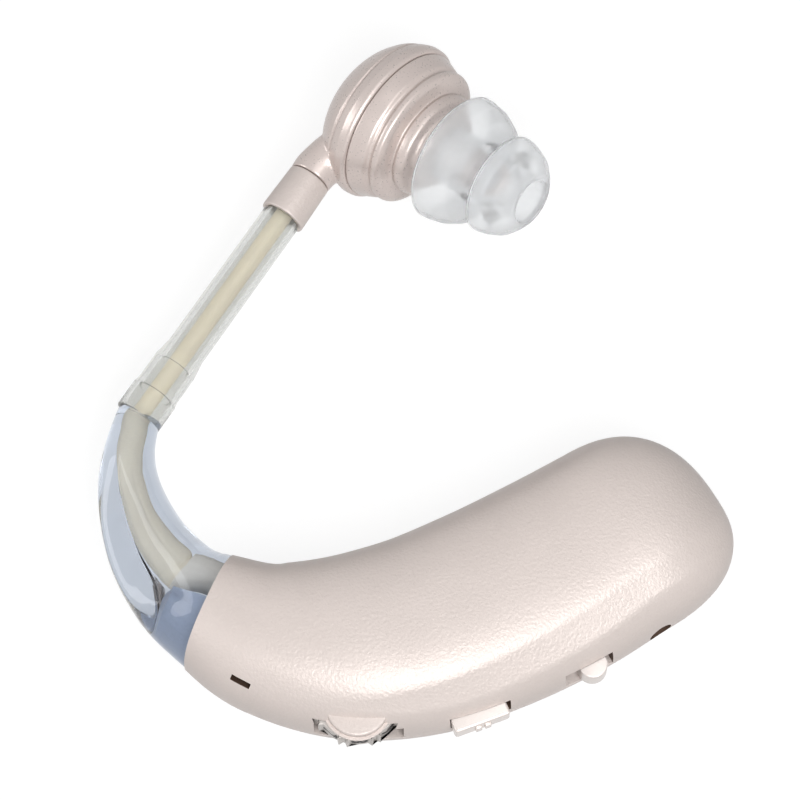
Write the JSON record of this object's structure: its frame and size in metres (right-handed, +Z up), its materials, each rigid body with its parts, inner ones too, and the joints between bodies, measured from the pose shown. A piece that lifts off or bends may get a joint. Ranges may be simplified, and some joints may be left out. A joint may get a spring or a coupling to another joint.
{
  "type": "behind-the-ear sound amplifier",
  "caption": "Behind-the-ear sound amplifier: curved case with volume wheel, button and slide switch, clear ear hook, tube, turning receiver head and soft ear tip.",
  "frame": {"origin": "middle of the footprint, on the surface that the part lies on", "axes": "+X along the case towards its round end, +Y towards the receiver head, +Z up through the front shell"},
  "size_m": [0.0552, 0.065, 0.0149],
  "materials": {
    "front_shell": "pink-silver metallic lacquer, satin",
    "back_shell": "pink-silver metallic lacquer, satin",
    "case_screws": "plain",
    "main_board": "glass-fibre board",
    "board_screws": "plain",
    "amplifier_chip": "moulded",
    "charge_chip": "moulded",
    "capacitors": "sleeved can",
    "chip_resistors": "ceramic",
    "crystal": "can",
    "battery_cell": "foil pouch",
    "battery_pad": "foam",
    "battery_tabs": "nickel strip",
    "microphone": "can",
    "microphone_boot": "moulded",
    "volume_pot": "moulded base with metal pin",
    "wheel_cap": "turned",
    "volume_wheel": "satin, white filled figures",
    "wheel_wiper": "spring sheet",
    "mode_button": "pearl lacquer",
    "tact_plunger": "moulded",
    "tact_switch": "pressed can",
    "switch_can": "pressed can",
    "switch_slider": "moulded",
    "switch_knob": "pearl lacquer",
    "charge_socket": "moulded",
    "charge_ring": "plated",
    "charge_pin": "plated",
    "hook_mount": "moulded",
    "wire_boot": "moulded",
    "ear_hook": "clear, faint blue",
    "silicone_tube": "milky clear silicone",
    "wire_sheath": "smooth jacket",
    "stem_sleeve": "satin metallic lacquer",
    "swivel_bush": "turned",
    "head_back_cover": "satin metallic lacquer",
    "head_front_housing": "satin metallic lacquer",
    "head_gasket": "foam ring",
    "speaker_basket": "pressed can",
    "speaker_magnet": "sintered",
    "speaker_diaphragm": "film",
    "receiver_leads": "insulated wire",
    "nozzle_mesh": "woven screen",
    "ear_tip": "milky clear silicone"
  },
  "bodies": {
    "housing": {"front_shell": "front_shell", "back_shell": "back_shell", "case_screws": "case_screws", "main_board": "main_board", "board_screws": "board_screws", "amplifier_chip": "amplifier_chip", "charge_chip": "charge_chip", "capacitors": "capacitors", "chip_resistors": "chip_resistors", "crystal": "crystal", "battery_cell": "battery_cell", "battery_pad": "battery_pad", "battery_tabs": "battery_tabs", "microphone": "microphone", "microphone_boot": "microphone_boot", "volume_pot": "volume_pot", "wheel_cap": "wheel_cap", "tact_switch": "tact_switch", "switch_can": "switch_can", "charge_socket": "charge_socket", "charge_ring": "charge_ring", "charge_pin": "charge_pin", "hook_mount": "hook_mount", "wire_boot": "wire_boot", "ear_hook": "ear_hook", "silicone_tube": "silicone_tube", "wire_sheath": "wire_sheath", "stem_sleeve": "stem_sleeve", "swivel_bush": "swivel_bush"},
    "volume_wheel": {"volume_wheel": "volume_wheel", "wheel_wiper": "wheel_wiper"},
    "mode_button": {"mode_button": "mode_button"},
    "tact_plunger": {"tact_plunger": "tact_plunger"},
    "slide_switch": {"switch_slider": "switch_slider", "switch_knob": "switch_knob"},
    "head": {"head_back_cover": "head_back_cover", "head_front_housing": "head_front_housing", "head_gasket": "head_gasket", "speaker_basket": "speaker_basket", "speaker_magnet": "speaker_magnet", "speaker_diaphragm": "speaker_diaphragm", "receiver_leads": "receiver_leads", "nozzle_mesh": "nozzle_mesh"},
    "ear_tip": {"ear_tip": "ear_tip"}
  },
  "joints": [
    {"name": "volume_turn", "type": "hinge", "parent": "housing", "child": "volume_wheel", "pos_m": [-0.00499, -0.02844, 0.00775], "axis": [0, 0, 1], "range_deg": [-240, 30]},
    {"name": "button_press", "type": "slide", "parent": "housing", "child": "mode_button", "axis": [-0.3504, 0.9366, 0], "range_m": [0, 0.0003], "stiffness_N_per_m": 1000, "springref_m": -0.0003},
    {"name": "plunger_press", "type": "slide", "parent": "housing", "child": "tact_plunger", "axis": [-0.3504, 0.9366, 0], "range_m": [0, 0.0003]},
    {"name": "switch_slide", "type": "slide", "parent": "housing", "child": "slide_switch", "axis": [0.881, 0.4732, 0], "range_m": [-0.0012, 0.0005]},
    {"name": "head_swivel", "type": "hinge", "parent": "housing", "child": "head", "pos_m": [-0.00945, 0.02002, 0.0066], "axis": [0.5476, 0.8368, 0], "range_deg": [-74, 106]},
    {"name": "tip_pull", "type": "slide", "parent": "head", "child": "ear_tip", "axis": [0.747, -0.6027, 0.2807], "range_m": [0, 0.006]}
  ],
  "couplings": [
    {"joint": "plunger_press", "follows": "button_press", "ratio": 1}
  ]
}
